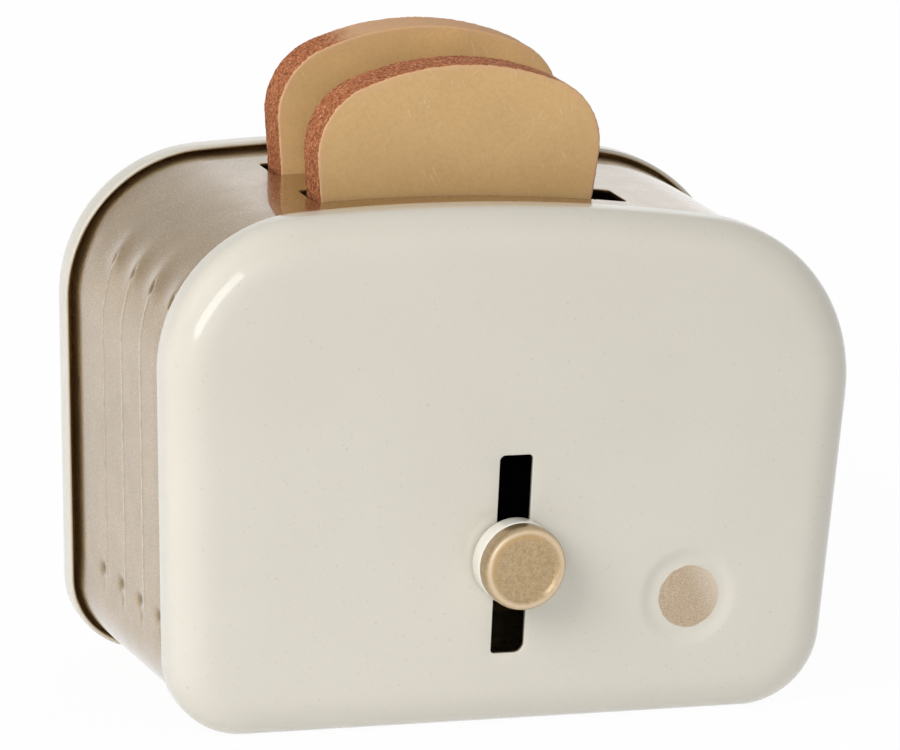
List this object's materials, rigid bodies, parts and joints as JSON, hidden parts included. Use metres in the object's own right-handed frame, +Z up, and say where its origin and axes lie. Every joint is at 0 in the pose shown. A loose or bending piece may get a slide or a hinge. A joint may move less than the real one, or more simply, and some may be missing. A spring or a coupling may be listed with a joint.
{
  "type": "toy toaster",
  "caption": "Small tin toy toaster: arched cream covers on a champagne band, wooden bread slices in slots, and a front lever knob that slides to raise and lower them.",
  "frame": {"origin": "middle of the overall box in plan, on the surface it stands on", "axes": "+X to the right seen from the front, -Y out of the front face with the lever, +Z up"},
  "size_m": [0.0699, 0.0412, 0.0643],
  "materials": {
    "enamel": "gloss cream enamel on pressed sheet",
    "lacquer": "gloss champagne metallic lacquer with fine grain",
    "steel": "plain tinned steel",
    "nylon": "natural nylon",
    "bread": "wood, painted tan faces and rough brown crust edge"
  },
  "bodies": {
    "housing": {"front_cover": "enamel", "back_cover": "enamel", "body_band": "lacquer", "seam_rivets": "steel", "lower_rod_bracket": "steel", "upper_rod_bracket": "steel", "bracket_rivets": "steel", "guide_rod_left": "steel", "guide_rod_right": "steel", "rod_clips": "steel"},
    "carriage": {"carriage_frame": "steel", "carriage_bush_left": "nylon", "carriage_bush_right": "nylon", "bread_tray_front": "steel", "bread_tray_back": "steel", "tray_rivets": "steel", "slot_washer": "nylon", "friction_spring": "steel", "lever_stem": "steel", "stem_nut": "steel", "knob_collar": "enamel", "lever_knob": "lacquer"},
    "slice_front": {"toast_front": "bread"},
    "slice_back": {"toast_back": "bread"}
  },
  "joints": [
    {"name": "lever_slide", "type": "slide", "parent": "housing", "child": "carriage", "axis": [0, 0, 1], "range_m": [-0.0079, 0.0087]},
    {"name": "slice_front_lift", "type": "slide", "parent": "carriage", "child": "slice_front", "axis": [0, 0, 1], "range_m": [0, 0.04]},
    {"name": "slice_back_lift", "type": "slide", "parent": "carriage", "child": "slice_back", "axis": [0, 0, 1], "range_m": [0, 0.04]}
  ]
}
